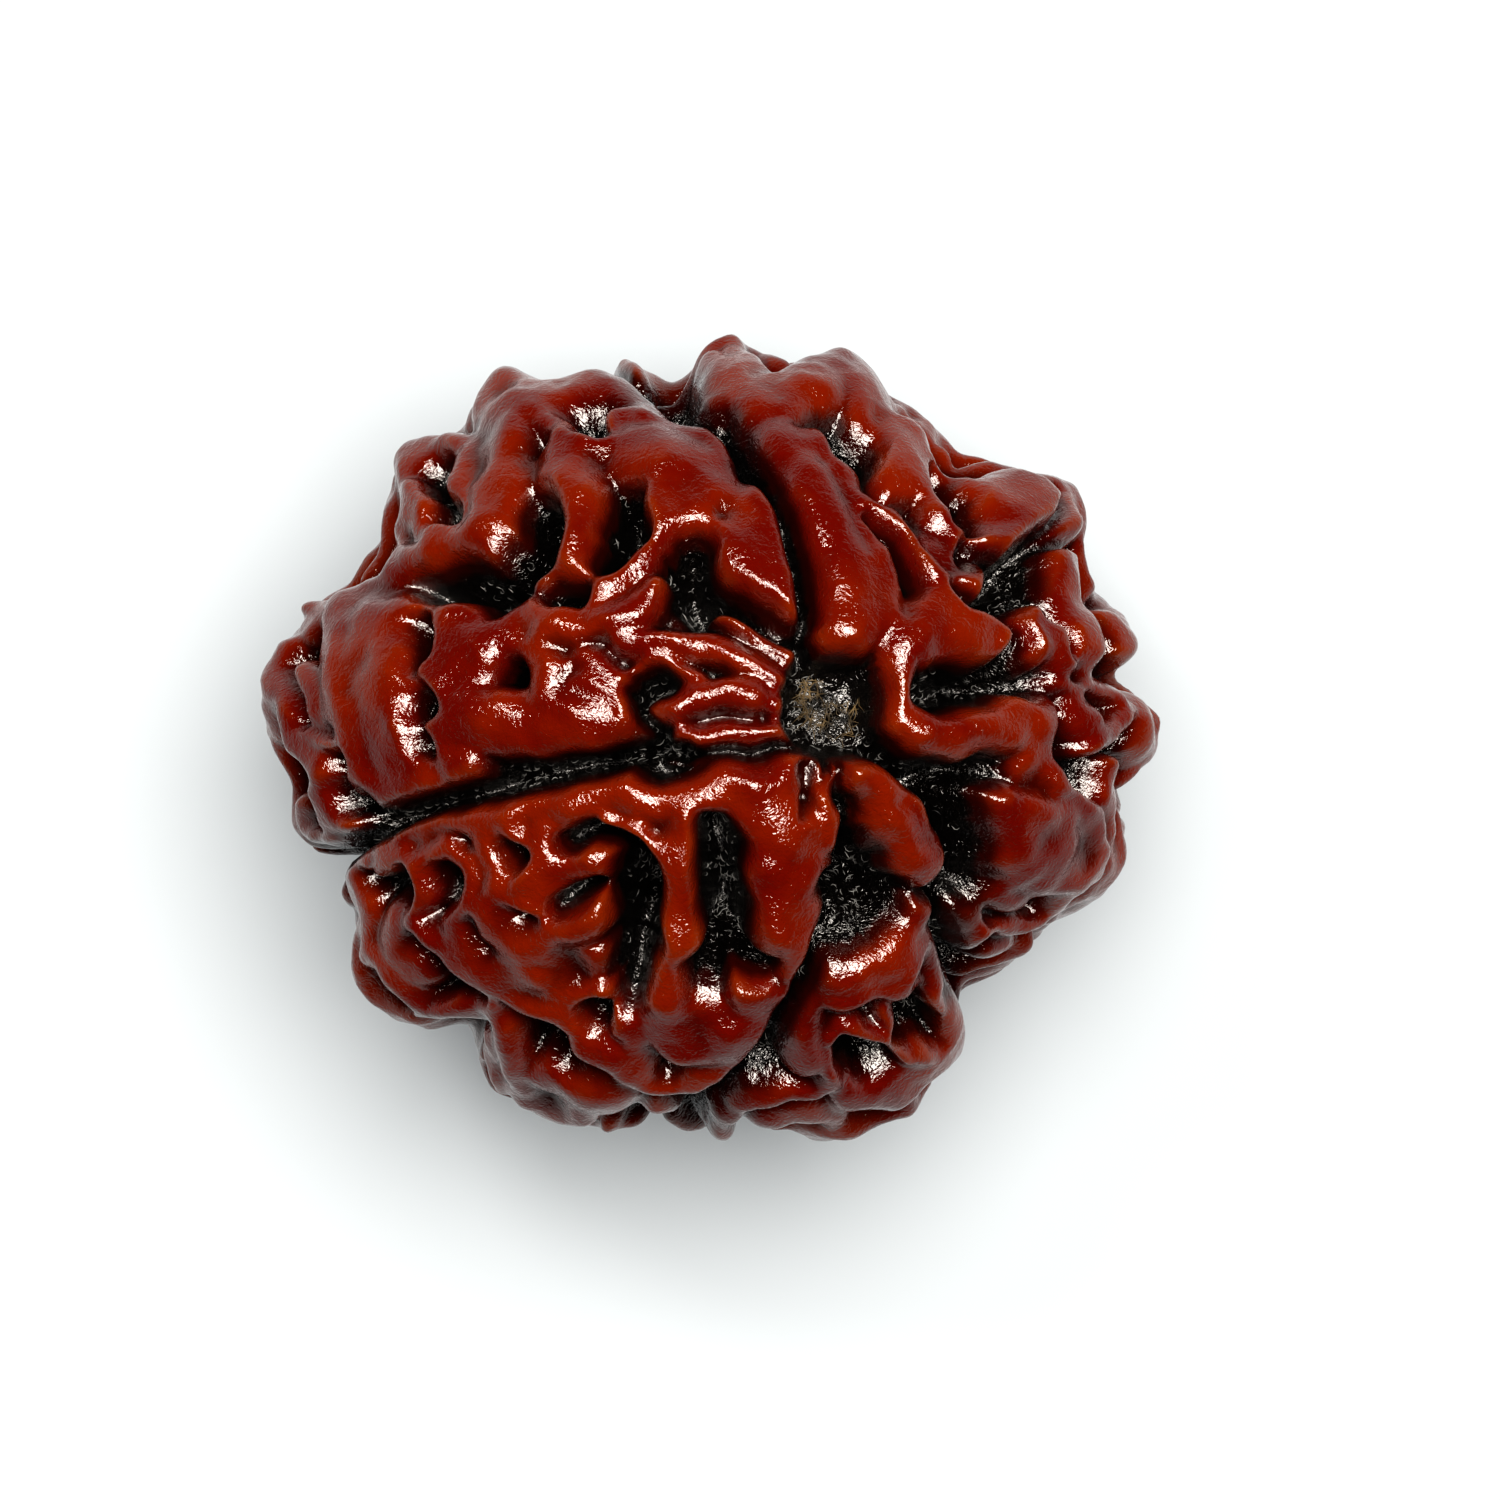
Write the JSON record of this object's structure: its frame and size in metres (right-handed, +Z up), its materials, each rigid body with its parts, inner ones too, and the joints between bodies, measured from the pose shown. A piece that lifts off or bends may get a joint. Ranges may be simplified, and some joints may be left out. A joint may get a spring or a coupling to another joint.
{
  "type": "four mukhi rudraksha bead",
  "caption": "Rounded, deeply wrinkled seed stone, its faces parted by clefts that run from the stalk end to the far end; rests on a small flat foot.",
  "frame": {"origin": "middle of the bead's box in plan, on the surface it rests on", "axes": "+X along the longest extent, +Y across it in plan, +Z up, the shortest extent; the stalk end is near the top, tilted from +Z towards +X"},
  "size_m": [0.0226, 0.0202, 0.0186],
  "materials": {
    "oiled_seed_stone": "glossy oiled red-brown seed stone, darker and dusty in the pits and clefts"
  },
  "bodies": {
    "root": {"rudraksha_bead": "oiled_seed_stone"}
  },
  "joints": []
}
